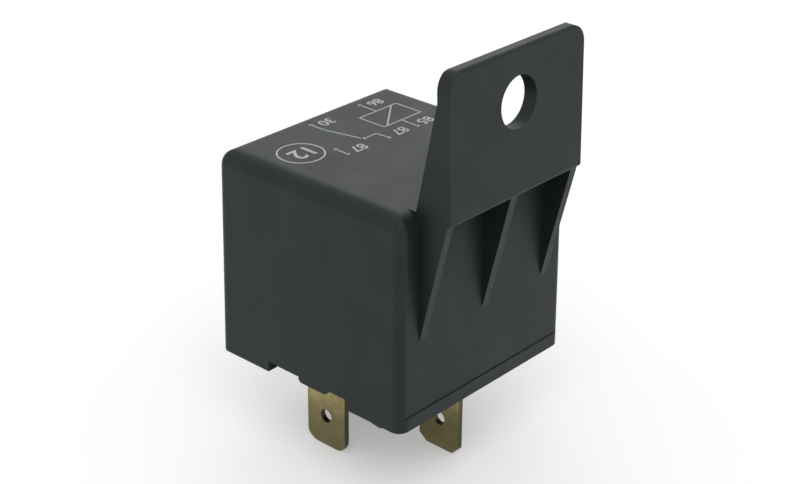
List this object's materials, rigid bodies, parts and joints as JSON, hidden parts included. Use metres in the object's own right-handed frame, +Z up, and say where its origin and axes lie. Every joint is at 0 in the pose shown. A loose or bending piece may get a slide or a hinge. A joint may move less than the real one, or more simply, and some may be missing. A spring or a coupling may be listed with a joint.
{
  "type": "automotive_relay",
  "caption": "Plug-in automotive change-over relay: cubic black moulded cover with a ribbed mounting bracket, flat plug blades underneath and a hinged armature inside.",
  "frame": {"origin": "Centre of the cover's open rim, where the plug side begins", "axes": "+X across the mounting bracket, +Y from the bracket to the contact side, +Z up from the plug blades to the closed top"},
  "size_m": [0.03, 0.0339, 0.0554],
  "materials": {
    "black_plastic": "moulded, fine satin grain",
    "base_plastic": "moulded, matte",
    "brass": "stamped, dull satin",
    "steel": "zinc plated, satin",
    "bobbin_plastic": "moulded, natural",
    "copper": "enamelled wire, glossy",
    "tinned": "tinned, satin",
    "spring_bronze": "rolled strip, satin",
    "silver": "silver alloy, satin"
  },
  "bodies": {
    "frame": {"cover": "black_plastic", "base": "base_plastic", "terminal_30": "brass", "terminal_85": "brass", "terminal_86": "brass", "terminal_87": "brass", "terminal_87a": "brass", "yoke": "steel", "core": "steel", "bobbin": "bobbin_plastic", "coil_winding": "copper", "coil_pins": "tinned", "yoke_rivets": "tinned", "fixed_contact_no": "silver", "fixed_contact_nc": "silver"},
    "armature": {"armature": "steel", "contact_spring": "spring_bronze", "armature_rivets": "tinned", "moving_contact": "silver"}
  },
  "joints": [
    {"name": "armature_hinge", "type": "hinge", "parent": "frame", "child": "armature", "pos_m": [0, -0.0111, 0.01897], "axis": [-1, 0, 0], "range_deg": [0, 3.1], "stiffness_Nm_per_rad": 0.05, "springref_deg": -4.58, "deforming": ["contact_spring"]}
  ]
}
